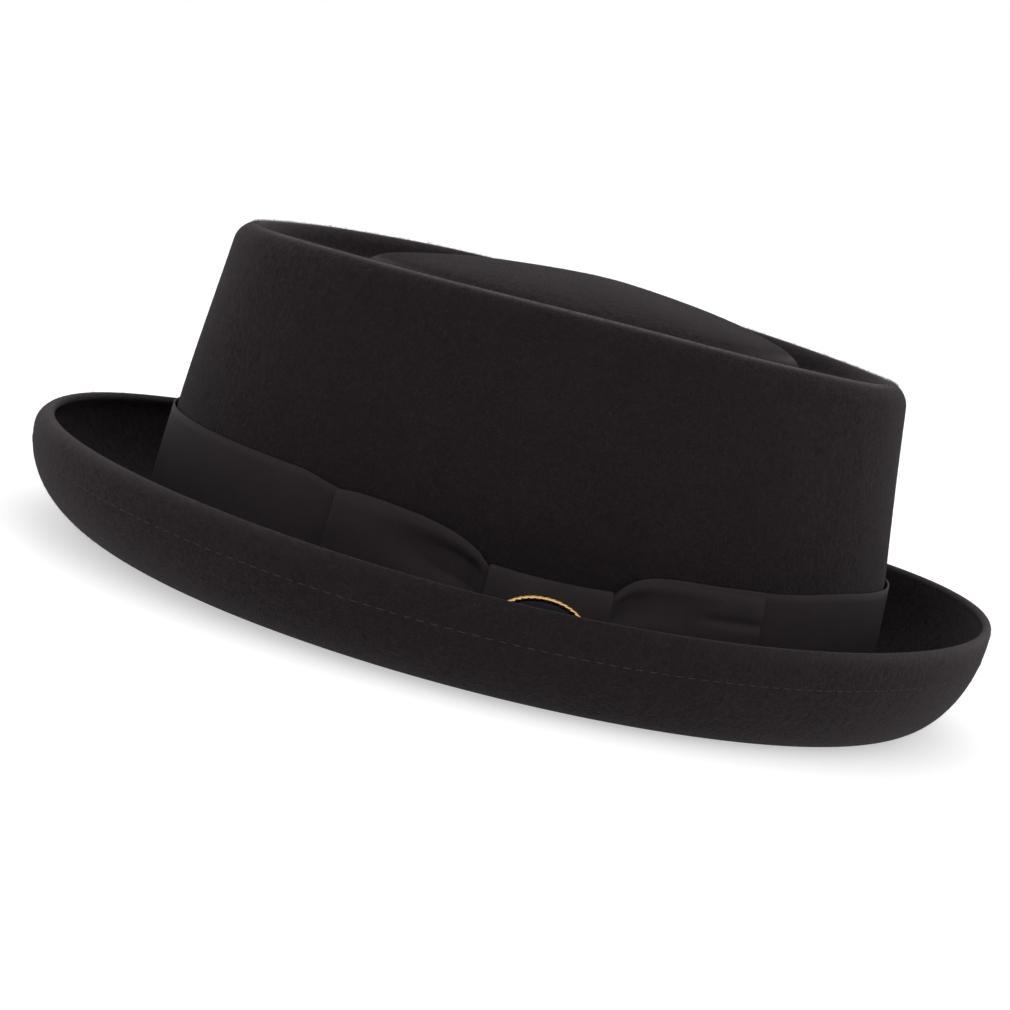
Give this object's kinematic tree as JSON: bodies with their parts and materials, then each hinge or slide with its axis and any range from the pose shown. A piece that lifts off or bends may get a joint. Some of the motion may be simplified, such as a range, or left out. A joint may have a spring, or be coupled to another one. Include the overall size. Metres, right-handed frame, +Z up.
{
  "type": "porkpie hat",
  "caption": "Felt porkpie hat with a creased flat crown, a rolled-up brim, a ribbon band, a flat side bow and a small oval badge.",
  "frame": {"origin": "on the surface that the brim rests on, under the middle of the whole hat", "axes": "+Z up through the crown, -Y towards the front of the hat, +X towards the wearer's left, where the bow sits"},
  "size_m": [0.2508, 0.274, 0.1],
  "materials": {
    "felt": "brushed wool felt, charcoal black",
    "ribbon": "ribbed ribbon, black, soft sheen",
    "gilt_metal": "polished gilt brass",
    "enamel": "smooth black enamel"
  },
  "bodies": {
    "root": {"felt_body": "felt", "hat_band": "ribbon", "bow_loops": "ribbon", "bow_knot": "ribbon", "badge_frame": "gilt_metal", "badge_face": "enamel"}
  },
  "joints": []
}
